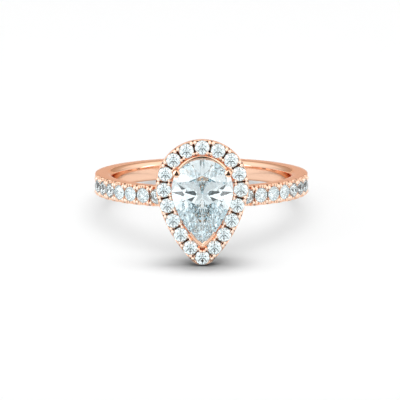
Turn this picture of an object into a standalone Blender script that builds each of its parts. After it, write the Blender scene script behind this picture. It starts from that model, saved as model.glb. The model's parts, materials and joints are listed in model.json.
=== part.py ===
"""Halo engagement ring: pear-shaped centre stone, one row of round brilliants round it, pave shoulders.

The ring is designed upright, as a jeweller draws it: the finger hole runs along Y, the head faces +Z and
the pear points to -Y. The finished assembly is then laid down on its halo tip and the back of the shank.
Lengths are in millimetres until a mesh is finished, when MM turns them into metres.
"""
import math

import bmesh
import bpy
import numpy as np
from mathutils import Matrix, Vector

MM = 0.001

# Shank
BORE_RADIUS = 8.5
BAND_RADIUS = 10.2
BAND_HALF_WIDTH = 0.95
BAND_STEPS = 72
EDGE_ROUND = 0.12
COMFORT_DEPTH = 0.65  # how far the rounded bore edge eats into the side face
COMFORT_RISE = 0.45  # how far it eats into the width of the bore
COMFORT_STEPS = 3

# Round brilliants
HALO_DIAMETER = 1.36
SHOULDER_DIAMETER = 1.4
STONE_SINK = 0.05  # girdle below the metal's surface
ROUND_SIDES = 16
ROUND_GIRDLE = 0.03  # shares of the diameter, from here
ROUND_CROWN = 0.15
ROUND_PAVILION = 0.431
ROUND_TABLE = 0.57
SHOULDER_STONES = 7
SHOULDER_START = 24.7  # degrees from the head to the first stone's middle
SHOULDER_PITCH = 8.6
HALO_STONES = 18
SEAT_CLEARANCE = 0.03
SEAT_RISE = 0.6  # how far a seat's cutter stands above the girdle
SCALLOP_RADIUS = 0.5  # the metal's edge is cut down beside each stone
SCALLOP_LIFT = 0.3  # the cut's middle above the metal's surface
SCALLOP_SIDES = 12
BEAD_RADIUS = 0.2
BEAD_INSET = 0.22  # a bead's middle from the metal's edge
BEAD_SINK = 0.03

# Head, as heights above the finger hole's axis
GIRDLE_HEIGHT = 12.95
GIRDLE_THICKNESS = 0.12
CROWN_HEIGHT = 0.75
PAVILION_DEPTH = 2.45
CULET_OFFSET = 0.7
TABLE_SHARE = 0.58
STAR_SLOPE = 21.0  # degrees, for every stone
LOWER_REACH = 0.24  # how near the culet the lower girdle facets come, of the way out
HALO_FACE = 12.35
HALO_THICKNESS = 0.85
HALO_HALF_WIDTH = 0.72
HALO_EDGE = 0.08
HALO_CHAMFER = (0.12, 0.15)
RAIL_HEIGHT = 11.3
RAIL_RADIUS = 0.25
BEARING_TOP = 12.25
BEARING_THICKNESS = 0.35
BEARING_WIDTH = 0.52
COLLET_TOP = 10.7
COLLET_OUTER = (1.75, 1.3)
COLLET_INNER = (1.2, 0.85)
COLLET_SHIFT = 0.3
COLLET_STEPS = 32
COLLET_SUNK = 0.6  # how far its tube runs into the band before it is cut to fit
COLLET_LAP = 0.2  # how far a claw's foot runs into the collet before it is cut to fit
CLAW_RADIUS = 0.26
CLAW_HEAD_RADIUS = 0.33
CLAW_SIDES = 10
CLAW_FOOT = (1.04, 1.06)
CLAW_PLACE = (2.5, 2.8)
CLAW_ELBOW_HEIGHT = 12.55
CLAW_TIP_HEIGHT = 13.2
CLAW_LEAN = 0.08  # how far the tip leans in over the stone
V_TOP = 13.3
V_SHOULDER = 12.6
V_FOOT = 11.75
V_ARM = 1.6
V_CAP = (0.16, -0.16)  # offsets from the stone's outline
V_WALL = (-0.02, -0.5)
V_LEG_FOOT = -0.77
V_LEG_HEAD = (-3.75, 12.1)
SOLDER_GAP = 0.02
HEAD_ROOM = 3.0  # half the depth of the cutter that clears the band

ROSE_GOLD = (0.91, 0.56, 0.42)
DIAMOND = (0.86, 0.9, 0.93)

SIDES = (("left", -1), ("right", 1))


class Pear:
    """A pear outline: a round head, two long side arcs and a rounded tip, symmetric about Y."""

    def __init__(self, head_radius, head_centre, shoulder, side_radius, tip_radius):
        self.head_radius = head_radius
        self.head_centre = head_centre
        self.shoulder = math.radians(shoulder)
        self.side_radius = side_radius
        self.tip_radius = tip_radius
        reach = side_radius - head_radius
        self.side_centre = (
            -reach * math.cos(self.shoulder),
            head_centre + reach * math.sin(self.shoulder),
        )

    def arcs(self, offset):
        """Right-hand half from top to tip, as (centre, radius, first angle, last angle)."""
        side = self.side_radius + offset
        tip = max(self.tip_radius + offset, 0.0)
        drop = math.sqrt((side - tip) ** 2 - self.side_centre[0] ** 2)
        turn = math.asin(drop / (side - tip))
        return [
            ((0.0, self.head_centre), self.head_radius + offset, -math.pi / 2, self.shoulder),
            (self.side_centre, side, self.shoulder, turn),
            ((0.0, self.side_centre[1] - drop), tip, turn, math.pi / 2),
        ]

    def ring(self, offset, steps):
        """Outline points, clockwise from the top, with steps on each of the half's three arcs."""
        half = []
        for (centre, radius, first, last), count in zip(self.arcs(offset), steps):
            for i in range(count):
                angle = first + (last - first) * i / count
                half.append((centre[0] + radius * math.cos(angle), centre[1] - radius * math.sin(angle)))
        centre, radius = self.arcs(offset)[2][:2]
        tip = (0.0, centre[1] - radius)
        return half + [tip] + [(-x, y) for x, y in reversed(half[1:])]

    def along(self, share, offset=0.0):
        """The point and its outward normal at a share of the way round, clockwise from the top."""
        arcs = self.arcs(offset)
        lengths = [radius * (last - first) for _, radius, first, last in arcs]
        side = 1.0 if share <= 0.5 else -1.0
        left = min(share, 1.0 - share) * 2.0 * sum(lengths)
        for (centre, radius, first, last), length in zip(arcs, lengths):
            if left <= length + 1e-9:
                break
            left -= length
        angle = first + left / radius
        out = Vector((side * math.cos(angle), -math.sin(angle)))
        middle = Vector((side * centre[0], centre[1]))
        return middle + out * radius, out


HALO = Pear(3.64, 1.45, 11.0, 11.5, 0.65)
STONE = Pear(2.9, 1.16, 15.0, 9.2, 0.12)
RAIL = Pear(2.09, 0.6, 15.0, 4.42, 0.5)
HALO_STEPS = (18, 14, 6)
RAIL_STEPS = (12, 8, 5)
STONE_STEPS = (18, 10, 2)
STONE_MAINS = (0, 8, 16, 22, 30, 38, 44, 52)


def clear_scene():
    for thing in list(bpy.data.objects):
        bpy.data.objects.remove(thing, do_unlink=True)


def metal_or_stone(name, colour, roughness, metallic):
    material = bpy.data.materials.new(name)
    material.use_nodes = True
    shader = material.node_tree.nodes["Principled BSDF"]
    shader.inputs["Base Color"].default_value = (*colour, 1.0)
    shader.inputs["Roughness"].default_value = roughness
    shader.inputs["Metallic"].default_value = metallic
    material.diffuse_color = (*colour, 1.0)
    return material


def mesh_from(bm, name, smooth_angle=None):
    bmesh.ops.remove_doubles(bm, verts=bm.verts, dist=0.002)
    bmesh.ops.recalc_face_normals(bm, faces=bm.faces)
    bmesh.ops.scale(bm, vec=(MM, MM, MM), verts=bm.verts)
    mesh = bpy.data.meshes.new(name)
    bm.to_mesh(mesh)
    bm.free()
    if smooth_angle:
        mesh.shade_smooth()
        mesh.set_sharp_from_angle(angle=math.radians(smooth_angle))
    return mesh


def place(name, mesh, material, frame):
    """One named piece of the ring; each piece has a material of its own."""
    piece = bpy.data.objects.new(name, mesh)
    bpy.context.collection.objects.link(piece)
    own = material.copy()
    own.name = f"{name}_{material.name}"
    piece.parent = frame
    if not mesh.materials:
        mesh.materials.append(material)
    piece.material_slots[0].link = "OBJECT"
    piece.material_slots[0].material = own
    return piece


def tool(name, bm, frame):
    """A cutter or a filler: it shapes other pieces and is not one itself."""
    guide = bpy.data.objects.new(name, mesh_from(bm, name))
    bpy.context.collection.objects.link(guide)
    guide.parent = frame
    guide.hide_render = True
    guide.display_type = "WIRE"
    return guide


def combine(piece, guide, operation):
    modifier = piece.modifiers.new(f"{operation.lower()}_{guide.name}", "BOOLEAN")
    modifier.operation = operation
    modifier.solver = "EXACT"
    modifier.object = guide


def bridge_loops(bm, loops, closed):
    """Skin a row of equal closed loops; the row itself is closed, or capped at its ends."""
    rows = [[bm.verts.new(point) for point in loop] for loop in loops]
    size = len(loops[0])
    for i in range(len(rows) if closed else len(rows) - 1):
        near, far = rows[i], rows[(i + 1) % len(rows)]
        for j in range(size):
            k = (j + 1) % size
            bm.faces.new((near[j], near[k], far[k], far[j]))
    if not closed:
        bm.faces.new(list(reversed(rows[0])))
        bm.faces.new(rows[-1])


def pear_ring(pear, section, steps):
    """A closed ring whose section is a list of (offset from the outline, height)."""
    bm = bmesh.new()
    loops = [[(x, y, height) for x, y in pear.ring(offset, steps)] for offset, height in section]
    bridge_loops(bm, loops, closed=True)
    return bm


def round_wire(path, radii, sides):
    """A wire along a path, with a radius at each of its points."""
    bm = bmesh.new()
    points = [Vector(point) for point in path]
    heading = points[1] - points[0]
    turn = heading.to_track_quat("Z", "Y").to_matrix()
    loops = []
    for i, point in enumerate(points):
        ahead = points[min(i + 1, len(points) - 1)] - points[max(i - 1, 0)]
        turn = heading.rotation_difference(ahead).to_matrix() @ turn
        heading = ahead
        loops.append(
            [
                point + turn @ Vector((radii[i] * math.cos(a), radii[i] * math.sin(a), 0.0))
                for a in (2 * math.pi * j / sides for j in range(sides))
            ]
        )
    bridge_loops(bm, loops, closed=False)
    return bm


def brilliant(outline, mains, culet_at, girdle, crown, pavilion, table_share):
    """Grind a brilliant cut from a prism: every facet is one flat cut, as on a real stone.

    The girdle's lower edge is at height 0. mains are the outline's corners that carry a main facet.
    """
    corners = [Vector((x, y, 0.0)) for x, y in outline]
    count = len(corners)
    culet = Vector((culet_at[0], culet_at[1], -pavilion))
    middle = Vector((culet_at[0], culet_at[1], 0.0))
    lift = Vector((0.0, 0.0, girdle))
    top = girdle + crown
    bm = bmesh.new()
    bridge_loops(
        bm,
        [
            [corner + Vector((0.0, 0.0, -pavilion * 1.2)) for corner in corners],
            [corner + Vector((0.0, 0.0, top)) for corner in corners],
        ],
        closed=False,
    )

    def cut(through, normal):
        body = bm.verts[:] + bm.edges[:] + bm.faces[:]
        done = bmesh.ops.bisect_plane(
            bm, geom=body, dist=0.0015, plane_co=through, plane_no=normal, clear_outer=True
        )
        rim = [edge for edge in done["geom_cut"] if isinstance(edge, bmesh.types.BMEdge)]
        bmesh.ops.contextual_create(bm, geom=[edge for edge in rim if edge.is_boundary])

    def plane(a, b, c):
        """A cut through three points, facing away from the stone's middle."""
        normal = (b - a).cross(c - a).normalized()
        if normal.dot(a - (middle + lift / 2)) < 0:
            normal.negate()
        return a, normal

    def meet(first, second, third):
        rows = [tuple(normal) for _, normal in (first, second, third)]
        sides = [normal.dot(point) for point, normal in (first, second, third)]
        return Vector(np.linalg.solve(np.array(rows), np.array(sides)))

    def outward(index):
        along = corners[(index + 1) % count] - corners[index - 1]
        out = Vector((along.y, -along.x, 0.0)).normalized()
        return out if out.dot(corners[index] - middle) > 0 else -out

    def main_cut(index, start, end):
        """The facet through a girdle corner and an inner point, square to the outline there."""
        out = outward(index)
        side = Vector((-out.y, out.x, 0.0))
        return plane(start, start + side, end)

    table = [middle + (corners[i] - middle) * table_share + Vector((0, 0, top)) for i in mains]
    kites = [main_cut(i, corners[i] + lift, inner) for i, inner in zip(mains, table)]
    bases = [main_cut(i, corners[i], culet) for i in mains]
    for k, index in enumerate(mains):
        after = (k + 1) % len(mains)
        half = (index + (mains[after] - index) % count // 2) % count
        edge = (table[after] - table[k]).normalized()
        out = Vector((edge.y, -edge.x, 0.0))
        if out.dot(table[k] - middle) < 0:
            out.negate()
        slope = math.radians(STAR_SLOPE)
        star = (table[k], out * math.sin(slope) + Vector((0.0, 0.0, math.cos(slope))))
        knee = meet(kites[k], kites[after], star)
        level = (corners[half], Vector((0.0, 0.0, 1.0)))
        ridge = meet(bases[k], bases[after], level)
        ankle = culet + (ridge - culet) * LOWER_REACH
        for corner in (index, mains[after]):
            cut(*plane(corners[corner] + lift, corners[half] + lift, knee))
            cut(*plane(corners[corner], corners[half], ankle))
        cut(*star)
    for facet in kites + bases:
        cut(*facet)
    bmesh.ops.dissolve_limit(bm, angle_limit=0.0005, verts=bm.verts, edges=bm.edges)
    return bm


def on_band(degrees, height, across=0.0):
    """A point at an angle from the head, at a distance from the finger hole's axis."""
    a = math.radians(degrees)
    return Vector((height * math.sin(a), across, height * math.cos(a)))


def shank_section():
    """The band's section as (distance from the axis, place across the width), one side then the other."""
    outer, half = BAND_RADIUS, BAND_HALF_WIDTH
    edge = [
        (outer, half - EDGE_ROUND),
        (outer - EDGE_ROUND * 0.29, half - EDGE_ROUND * 0.29),
        (outer - EDGE_ROUND, half),
    ]
    for i in range(COMFORT_STEPS):
        a = math.pi / 2 * i / (COMFORT_STEPS - 1)
        edge.append(
            (
                BORE_RADIUS + COMFORT_DEPTH * (1.0 - math.sin(a)),
                half - COMFORT_RISE * (1.0 - math.cos(a)),
            )
        )
    return edge + [(radius, -across) for radius, across in reversed(edge)]


def band_loops(section):
    return [
        [on_band(360.0 * i / BAND_STEPS, radius, across) for radius, across in section]
        for i in range(BAND_STEPS)
    ]


def seat_cutter(bm, middle, axis, diameter):
    """The drilled seat of one round brilliant: open above, a cone below the girdle."""
    sides = ROUND_SIDES
    radius = (diameter / 2 + SEAT_CLEARANCE) / math.cos(math.pi / sides)
    depth = diameter * ROUND_PAVILION + SEAT_CLEARANCE * 1.6
    turn = axis.to_track_quat("Z", "Y").to_matrix()
    rings = []
    for height in (SEAT_RISE, -SOLDER_GAP):
        rings.append(
            [
                bm.verts.new(middle + turn @ Vector((radius * math.cos(a), radius * math.sin(a), height)))
                for a in (2 * math.pi * j / sides for j in range(sides))
            ]
        )
    bottom = bm.verts.new(middle + turn @ Vector((0.0, 0.0, -depth)))
    bm.faces.new(rings[0])
    for j in range(sides):
        k = (j + 1) % sides
        bm.faces.new((rings[0][j], rings[0][k], rings[1][k], rings[1][j]))
        bm.faces.new((rings[1][j], rings[1][k], bottom))


def scallop_cutter(bm, middle, along, up, start, end):
    """A round bar laid across the metal's edge, from start to end of the way along."""
    side = along.cross(up)
    centre = middle + up * SCALLOP_LIFT
    rows = []
    for reach in (start, end):
        rows.append(
            [
                centre + along * reach + (side * math.cos(a) + up * math.sin(a)) * SCALLOP_RADIUS
                for a in (2 * math.pi * (j + 0.5) / SCALLOP_SIDES for j in range(SCALLOP_SIDES))
            ]
        )
    bridge_loops(bm, rows, closed=False)


def add_bead(bm, middle):
    spot = Matrix.Translation(middle)
    bmesh.ops.create_uvsphere(bm, u_segments=8, v_segments=4, radius=BEAD_RADIUS, matrix=spot)


def shoulder_angles():
    return [SHOULDER_START + SHOULDER_PITCH * i for i in range(SHOULDER_STONES)]


def make_shank(frame, gold):
    bm = bmesh.new()
    bridge_loops(bm, band_loops(shank_section()), closed=True)
    shank = place("shank", mesh_from(bm, "shank", 30), gold, frame)
    beads, seats, scallops = bmesh.new(), bmesh.new(), bmesh.new()
    rim = BAND_HALF_WIDTH - BEAD_INSET
    reach = BAND_HALF_WIDTH + EDGE_ROUND
    for side in (-1, 1):
        for angle in shoulder_angles():
            middle = on_band(side * angle, BAND_RADIUS - STONE_SINK)
            seat_cutter(seats, middle, middle.normalized(), SHOULDER_DIAMETER)
            top = on_band(side * angle, BAND_RADIUS)
            scallop_cutter(scallops, top, Vector((0, 1, 0)), top.normalized(), -reach, reach)
        for i in range(SHOULDER_STONES + 1):
            gap = SHOULDER_START + SHOULDER_PITCH * (i - 0.5)
            for across in (-rim, rim):
                add_bead(beads, on_band(side * gap, BAND_RADIUS - BEAD_SINK, across))
    combine(shank, tool("shank_beads", beads, frame), "UNION")
    combine(shank, tool("shank_scallops", scallops, frame), "DIFFERENCE")
    combine(shank, tool("shank_seats", seats, frame), "DIFFERENCE")
    return shank


def halo_section():
    half, face, back = HALO_HALF_WIDTH, HALO_FACE, HALO_FACE - HALO_THICKNESS
    inward, upward = HALO_CHAMFER
    return [
        (-half, back),
        (half - inward, back),
        (half, back + upward),
        (half, face - HALO_EDGE),
        (half - HALO_EDGE, face),
        (-half, face),
    ]


def make_halo(frame, gold, claw_tools):
    body = mesh_from(pear_ring(HALO, halo_section(), HALO_STEPS), "halo_frame", 30)
    halo = place("halo_frame", body, gold, frame)
    beads, seats, scallops = bmesh.new(), bmesh.new(), bmesh.new()
    reach = HALO_HALF_WIDTH - BEAD_INSET
    up = Vector((0, 0, 1))
    for i in range(HALO_STONES):
        spot, out = HALO.along(i / HALO_STONES)
        seat_cutter(seats, Vector((*spot, HALO_FACE - STONE_SINK)), up, HALO_DIAMETER)
        top, along = Vector((*spot, HALO_FACE)), Vector((*out, 0))
        scallop_cutter(scallops, top, along, up, 0.0, HALO_HALF_WIDTH + EDGE_ROUND)
        gap, out = HALO.along((i + 0.5) / HALO_STONES)
        for offset in (-reach, reach):
            add_bead(beads, Vector((*(gap + out * offset), HALO_FACE - BEAD_SINK)))
    combine(halo, tool("halo_beads", beads, frame), "UNION")
    combine(halo, tool("halo_scallops", scallops, frame), "DIFFERENCE")
    combine(halo, tool("halo_seats", seats, frame), "DIFFERENCE")
    for guide in claw_tools:
        combine(halo, guide, "DIFFERENCE")
    return halo


def claw_wire(side, extra):
    """From the collet's top, up inside the halo's edge, and over the stone's girdle to a domed tip.

    side is -1 or 1; extra makes the cutter that clears the claw.
    """
    x, y = CLAW_PLACE
    foot = Vector((side * CLAW_FOOT[0], CLAW_FOOT[1], COLLET_TOP - COLLET_LAP))
    elbow = Vector((side * x, y, CLAW_ELBOW_HEIGHT))
    tip = Vector((side * (x - CLAW_LEAN), y - CLAW_LEAN, CLAW_TIP_HEIGHT))
    slim, full = CLAW_RADIUS + extra, CLAW_HEAD_RADIUS + extra
    path = [foot, foot.lerp(elbow, 0.5), foot.lerp(elbow, 0.88), elbow, elbow.lerp(tip, 0.3), tip]
    radii = [slim] * 4 + [full] * 2
    for turn in (30, 60, 80):
        a = math.radians(turn)
        path.append(tip + Vector((0, 0, full * math.sin(a) * 0.75)))
        radii.append(full * math.cos(a))
    return round_wire(path, radii, CLAW_SIDES)


def tip_outline(outer, inner):
    """An arrowhead that follows the stone's two edges back from its tip, between two offsets."""
    rows = []
    for offset in (outer, inner):
        centre, radius, first, last = STONE.arcs(offset)[1]
        start = last - V_ARM / radius
        row = []
        for i in range(4):
            angle = start + (last - start) * i / 4
            row.append((centre[0] + radius * math.cos(angle), centre[1] - radius * math.sin(angle)))
        low, low_radius = STONE.arcs(offset)[2][:2]
        tip = (0.0, low[1] - low_radius)
        rows.append(row + [tip] + [(-x, y) for x, y in reversed(row)])
    return rows[0] + rows[1][::-1]


def prism(bm, outline, bottom, top):
    bridge_loops(bm, [[(x, y, z) for x, y in outline] for z in (bottom, top)], closed=False)


def tip_cap(extra):
    """The V over the stone's tip, clear of the halo."""
    bm = bmesh.new()
    prism(bm, tip_outline(V_CAP[0] + extra, V_CAP[1] - extra), V_SHOULDER - extra, V_TOP + extra)
    return bm


def tip_wall(extra):
    """The V under the cap, inside the halo's inner edge."""
    bm = bmesh.new()
    prism(bm, tip_outline(V_WALL[0] + extra, V_WALL[1] - extra), V_FOOT - extra, V_SHOULDER + 0.1)
    return bm


def tip_leg(extra):
    """The wire that carries the V, from the collet's top."""
    start = Vector((0.0, V_LEG_FOOT, COLLET_TOP - COLLET_LAP))
    end = Vector((0.0, *V_LEG_HEAD))
    return round_wire([start, start.lerp(end, 0.5), end], [CLAW_RADIUS + extra] * 3, CLAW_SIDES)


def ellipse(axes, shift, height):
    return [
        (axes[0] * math.cos(a), shift + axes[1] * math.sin(a), height)
        for a in (2 * math.pi * i / COLLET_STEPS for i in range(COLLET_STEPS))
    ]


def collet_ring(extra):
    outer = [axis + extra for axis in COLLET_OUTER]
    inner = [axis - extra for axis in COLLET_INNER]
    bottom, top = BAND_RADIUS - COLLET_SUNK, COLLET_TOP + extra
    bm = bmesh.new()
    loops = [
        ellipse(inner, COLLET_SHIFT, bottom),
        ellipse(outer, COLLET_SHIFT, bottom),
        ellipse(outer, COLLET_SHIFT, top),
        ellipse(inner, COLLET_SHIFT, top),
    ]
    bridge_loops(bm, loops, closed=True)
    return bm


def stone_mesh(extra):
    outline = STONE.ring(extra, STONE_STEPS)
    return brilliant(
        outline,
        STONE_MAINS,
        (0.0, CULET_OFFSET),
        GIRDLE_THICKNESS + extra,
        CROWN_HEIGHT + extra,
        PAVILION_DEPTH + extra,
        TABLE_SHARE,
    )


def round_brilliant(diameter):
    radius = diameter / 2
    outline = [
        (radius * math.sin(a), radius * math.cos(a))
        for a in (2 * math.pi * i / ROUND_SIDES for i in range(ROUND_SIDES))
    ]
    heights = [share * diameter for share in (ROUND_GIRDLE, ROUND_CROWN, ROUND_PAVILION)]
    bm = brilliant(outline, range(0, ROUND_SIDES, 2), (0.0, 0.0), *heights, ROUND_TABLE)
    return mesh_from(bm, "round_brilliant")


def make_band_room(frame):
    """The space the band takes up under the head."""
    outer, inner = BAND_RADIUS + SOLDER_GAP, BORE_RADIUS / 2
    section = [(outer, -HEAD_ROOM), (outer, HEAD_ROOM), (inner, HEAD_ROOM), (inner, -HEAD_ROOM)]
    bm = bmesh.new()
    bridge_loops(bm, band_loops(section), closed=True)
    return tool("band_room", bm, frame)


def make_rail(name, pear, section, steps, smooth_angle, frame, gold):
    mesh = mesh_from(pear_ring(pear, section, steps), name, smooth_angle)
    return place(name, mesh, gold, frame)


def bearing_section():
    outer = -HALO_HALF_WIDTH - SOLDER_GAP
    inner, low = outer - BEARING_WIDTH, BEARING_TOP - BEARING_THICKNESS
    return [(inner, low), (outer, low), (outer, BEARING_TOP), (inner, BEARING_TOP)]


def gallery_section():
    return [
        (RAIL_RADIUS * math.cos(a), RAIL_HEIGHT + RAIL_RADIUS * math.sin(a))
        for a in (2 * math.pi * i / 8 for i in range(8))
    ]


def make_head(frame, gold, diamond):
    up = Vector((0.0, 0.0, GIRDLE_HEIGHT * MM))
    centre_stone = place("centre_stone", mesh_from(stone_mesh(0.0), "pear_brilliant"), diamond, frame)
    centre_stone.location = up
    stone_room = tool("stone_room", stone_mesh(SOLDER_GAP), frame)
    stone_room.location = up

    collet_room = tool("collet_room", collet_ring(SOLDER_GAP), frame)
    claw_rooms = [tool(f"{side}_claw_room", claw_wire(sign, SOLDER_GAP), frame) for side, sign in SIDES]
    tip_rooms = [
        tool("tip_wall_room", tip_wall(SOLDER_GAP), frame),
        tool("tip_leg_room", tip_leg(SOLDER_GAP), frame),
    ]

    make_halo(frame, gold, claw_rooms)

    collet = place("collet", mesh_from(collet_ring(0.0), "collet", 30), gold, frame)
    combine(collet, make_band_room(frame), "DIFFERENCE")

    for side, sign in SIDES:
        claw = place(f"{side}_claw", mesh_from(claw_wire(sign, 0.0), f"{side}_claw", 40), gold, frame)
        combine(claw, collet_room, "DIFFERENCE")
        combine(claw, stone_room, "DIFFERENCE")

    tip = place("tip_claw", mesh_from(tip_cap(0.0), "tip_claw", 30), gold, frame)
    combine(tip, tool("tip_wall", tip_wall(0.0), frame), "UNION")
    combine(tip, tool("tip_leg", tip_leg(0.0), frame), "UNION")
    combine(tip, collet_room, "DIFFERENCE")
    combine(tip, stone_room, "DIFFERENCE")

    bearing = make_rail("bearing_rail", HALO, bearing_section(), HALO_STEPS, 30, frame, gold)
    gallery = make_rail("gallery_rail", RAIL, gallery_section(), RAIL_STEPS, 50, frame, gold)
    for rail in (bearing, gallery):
        for guide in claw_rooms + tip_rooms:
            combine(rail, guide, "DIFFERENCE")


def set_round_stones(frame, diamond):
    halo_cut, shoulder_cut = round_brilliant(HALO_DIAMETER), round_brilliant(SHOULDER_DIAMETER)
    for i in range(HALO_STONES):
        spot, _ = HALO.along(i / HALO_STONES)
        stone = place(f"halo_stone_{i + 1:02d}", halo_cut, diamond, frame)
        stone.location = Vector((*spot, HALO_FACE - STONE_SINK)) * MM
    for side, sign in SIDES:
        for i, angle in enumerate(shoulder_angles()):
            stone = place(f"{side}_stone_{i + 1:02d}", shoulder_cut, diamond, frame)
            stone.location = on_band(sign * angle, BAND_RADIUS - STONE_SINK) * MM
            stone.rotation_euler = (0.0, math.radians(sign * angle), 0.0)


def lay_down(frame):
    """Tip the ring forward until the halo's tip and the back of the shank both touch the ground."""
    tip = sum(HALO_STEPS)
    head = [(HALO.ring(offset, HALO_STEPS)[tip][1], height) for offset, height in halo_section()]
    band = [(across, -radius) for radius, across in shank_section()]
    angle = math.radians(77)

    def height(point):
        return point[0] * math.sin(angle) + point[1] * math.cos(angle)

    for _ in range(8):
        front, rear = min(head, key=height), min(band, key=height)
        angle = math.atan2(front[1] - rear[1], rear[0] - front[0])
    frame.rotation_euler = (angle, 0.0, 0.0)
    frame.location.z = -height(front) * MM


def centre_over_origin(frame):
    """Slide the laid ring along Y until its box is centred."""
    bpy.context.view_layer.update()
    reach = []
    for piece in frame.children:
        if piece.type == "MESH" and not piece.hide_render:
            reach += [(piece.matrix_world @ vertex.co).y for vertex in piece.data.vertices]
    frame.location.y -= (min(reach) + max(reach)) / 2


def main():
    clear_scene()
    gold = metal_or_stone("rose_gold", ROSE_GOLD, 0.12, 1.0)
    diamond = metal_or_stone("diamond", DIAMOND, 0.02, 0.0)
    frame = bpy.data.objects.new("ring_frame", None)
    bpy.context.collection.objects.link(frame)
    make_shank(frame, gold)
    make_head(frame, gold, diamond)
    set_round_stones(frame, diamond)
    lay_down(frame)
    centre_over_origin(frame)


main()
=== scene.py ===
import json
import math

import bmesh
import bpy
import numpy as np
from mathutils import Matrix, Vector


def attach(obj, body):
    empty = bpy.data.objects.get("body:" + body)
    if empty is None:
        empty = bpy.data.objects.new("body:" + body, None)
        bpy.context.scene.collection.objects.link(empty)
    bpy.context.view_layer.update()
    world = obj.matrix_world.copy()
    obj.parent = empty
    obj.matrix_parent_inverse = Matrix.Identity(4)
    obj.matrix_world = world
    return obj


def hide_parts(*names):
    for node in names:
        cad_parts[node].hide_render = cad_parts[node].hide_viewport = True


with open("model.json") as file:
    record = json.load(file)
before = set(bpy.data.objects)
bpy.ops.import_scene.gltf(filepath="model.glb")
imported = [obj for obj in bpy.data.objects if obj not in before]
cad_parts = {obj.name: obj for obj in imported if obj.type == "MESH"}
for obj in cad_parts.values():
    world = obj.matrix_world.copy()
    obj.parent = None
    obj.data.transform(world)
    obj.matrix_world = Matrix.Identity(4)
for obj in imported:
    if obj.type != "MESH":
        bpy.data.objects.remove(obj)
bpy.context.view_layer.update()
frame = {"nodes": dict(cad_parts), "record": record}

MM = 0.001

# Shank, in millimetres, with the finger hole along Y and the head facing +Z
BORE_RADIUS = 8.5
BAND_RADIUS = 10.2
BAND_HALF_WIDTH = 0.95
BAND_WALL_DROPS = (0.4, 0.8)  # points down the flat sides, below the band's face
MOUNT_RADIUS = 9.6
COMFORT_DEPTH = 0.65
COMFORT_RISE = 0.45
COMFORT_STEPS = 10
PLAIN_STEP = 1.6  # degrees between sections where the band is plain
SHOULDER_MARGIN = 0.8  # how far the fine sections run past the last stone, in pitches
STONE_REACH = 0.75  # how far a stone's seat and a gap's beads reach, in pitches
GAP_REACH = 0.3

# Pave
GRAIN = 0.038  # spacing of the surface points round the small stones
STONE_SINK = 0.05
HALO_STONE_SIZE = 1.36
SHOULDER_STONE_SIZE = 1.4
SEAT_CLEARANCE = 0.015
SEAT_DROP = 0.02  # the seat's edge below the stone's girdle
SEAT_SLOPE = math.tan(math.radians(41.0))
WALL_SLOPE = 6.0
SCALLOP_RADIUS = 0.5
SCALLOP_LIFT = 0.3
GROOVE_DEPTH = 0.3
GROOVE_WIDTH = 0.035
NOTCH_PLACE = 0.5  # from the row's middle line, where a groove starts to open into a notch
NOTCH_RUN = 0.2
NOTCH_SPREAD = 0.08
NOTCH_FILL = 0.45  # share of the groove's depth that the notch gives up
BRIDGE_PLACE = 0.05  # the metal left between two beads: its middle, inside theirs
BRIDGE_WIDTH = 0.09
BRIDGE_FILL = 0.85  # share of the groove's depth that the bridge fills
BEAD_SPREAD = 0.165  # a bead's middle from the middle of the gap, along the row
BEAD_TOP = 0.17
HALO_BEADS = {"bead_across": 0.5, "bead_radius": 0.18}
SHOULDER_BEADS = {"bead_across": 0.64, "bead_radius": 0.19}
FULL_RECESS = 0.3  # depth in a cut, and height up a bead, at which the painted shade and the painted highlight are full
EDGE_FILLET = 0.06
FILLET_ANGLES = (35.0, 65.0, 90.0)

# Head, with heights above the finger hole's axis
HALO_FACE = 12.35
HALO_BACK = 11.5
HALO_HALF_WIDTH = 0.72
HALO_WALL_DROP = 0.42  # points down the halo's plain walls, below its face
HALO_WALL_FOOT = 0.2
HALO_BACK_ROUND = 0.15
HALO_BACK_ANGLES = (0.4, 0.9, 1.57)
HALO_BACK_BEVEL = 0.06
BEARING_OFFSET = -1.0  # the rail's middle from the halo's middle line
BEARING_HALF_WIDTH = 0.26
BEARING_HEIGHTS = (11.9, 12.25)
BEARING_ROUNDNESS = 0.7  # 1 for an oval section, less for a squarer one
RAIL_HEIGHT = 11.3
RAIL_RADIUS = 0.25
RAIL_SIDES = 16
RAIL_SPACING = 0.12
COLLET_TOP = 10.7
COLLET_OUTER = (1.75, 1.3)
COLLET_INNER = (1.2, 0.85)
COLLET_SHIFT = 0.3
COLLET_RIM = 0.08
COLLET_RIM_EASE = 0.3
COLLET_FOOT_SINK = 0.02
COLLET_SIDES = 72
WIRE_SINK = 0.1  # how far the claws' wires run down into the collet
CLAW_RADIUS = 0.26
CLAW_HEAD_RADIUS = 0.37
CLAW_HEAD_RUN = 0.25  # height over which the wire swells into the head
CLAW_HEAD_DOME = 0.72  # the head's height over its radius
CLAW_DOME_STEP = 12  # degrees
CLAW_SIDES = 24
CLAW_STEPS = 6
CLAW_BENDS = (0.5, 0.88)  # points that keep the wire straight, as shares of it
CLAW_FLAT_RISE = 8.55  # degrees that the claw's middle flat leans from the stone's table
CLAW_FLAT_SLOPE = 24.0
CLAW_FLAT_SIZE = 0.16
CLAW_FLAT_DEPTH = 0.2
CLAW_FLAT_TURNS = (None, 90.0, 210.0, 330.0)  # None for the middle flat
CLAW_FOOT = (1.04, 1.06)
CLAW_PLACE = (2.5, 2.8)
CLAW_ELBOW_HEIGHT = 12.55
CLAW_TIP_HEIGHT = 13.14
CLAW_LEAN = 0.08
CLAW_SMOOTH = 18.0
V_TOP = 13.3
V_FOOT = 11.75
V_LEDGE = 12.38
V_WALL = 0.17  # from the stone's outline to the V's outer face
V_BACK = -0.5  # how far it reaches in under the stone
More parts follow.
